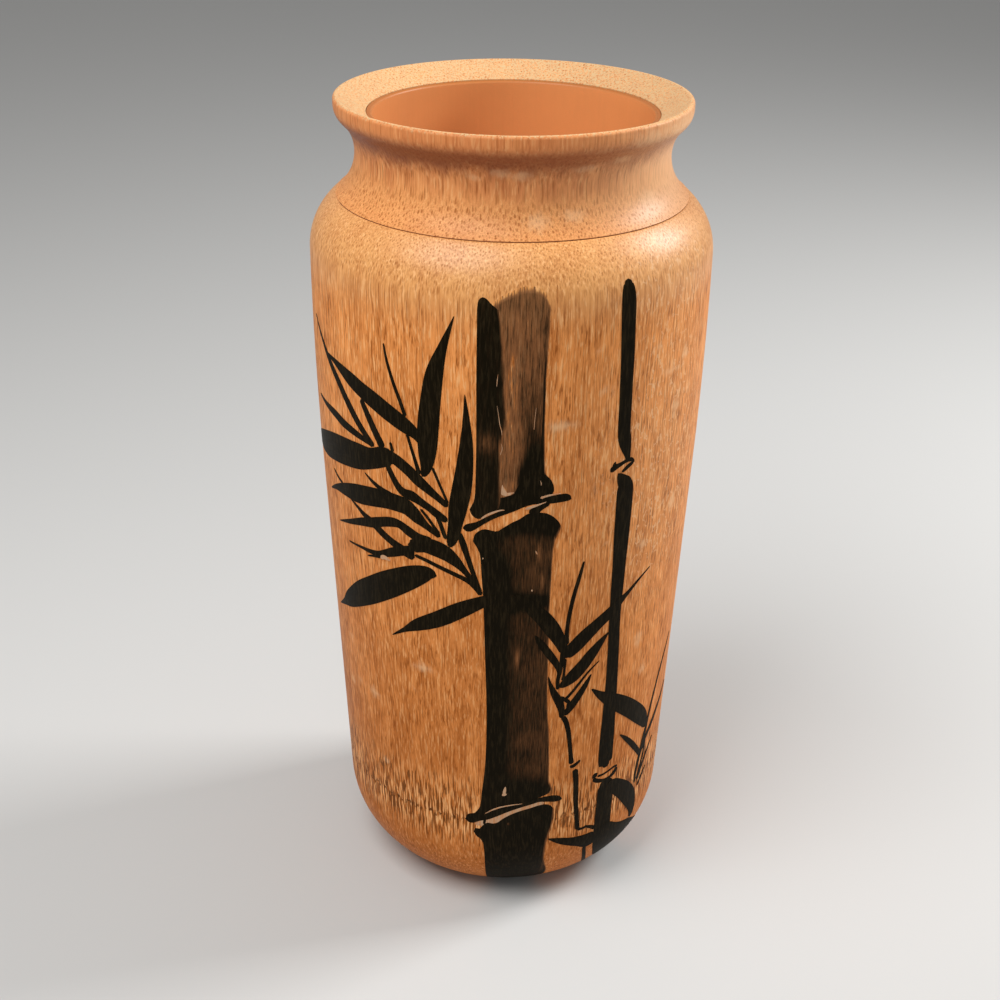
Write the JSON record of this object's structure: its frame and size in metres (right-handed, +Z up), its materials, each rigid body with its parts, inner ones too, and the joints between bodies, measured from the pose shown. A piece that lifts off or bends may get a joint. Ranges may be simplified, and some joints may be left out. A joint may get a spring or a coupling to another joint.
{
  "type": "bamboo vase",
  "caption": "Turned bamboo flower vase: round-bottomed culm body, flared neck ring with a dished rim, and a loose water liner that lifts out of the mouth.",
  "frame": {"origin": "centre of the foot's contact ring, on the surface that the vase stands on", "axes": "+Z up along the vase's axis, -Y towards the viewer of the painted front"},
  "size_m": [0.1194, 0.1194, 0.254],
  "materials": {
    "bamboo": "satin varnish over turned bamboo",
    "bamboo_neck": "satin varnish over turned bamboo",
    "glue": "dark dried glue",
    "liner": "moulded, semi-gloss",
    "ink": "brushed black ink under varnish"
  },
  "bodies": {
    "vase": {"body_culm": "bamboo", "neck_ring": "bamboo_neck", "neck_glue_line": "glue"},
    "liner": {"liner_cup": "liner"}
  },
  "joints": [
    {"name": "liner_lift", "type": "slide", "parent": "vase", "child": "liner", "axis": [0, 0, 1], "range_m": [0, 0.225]}
  ]
}
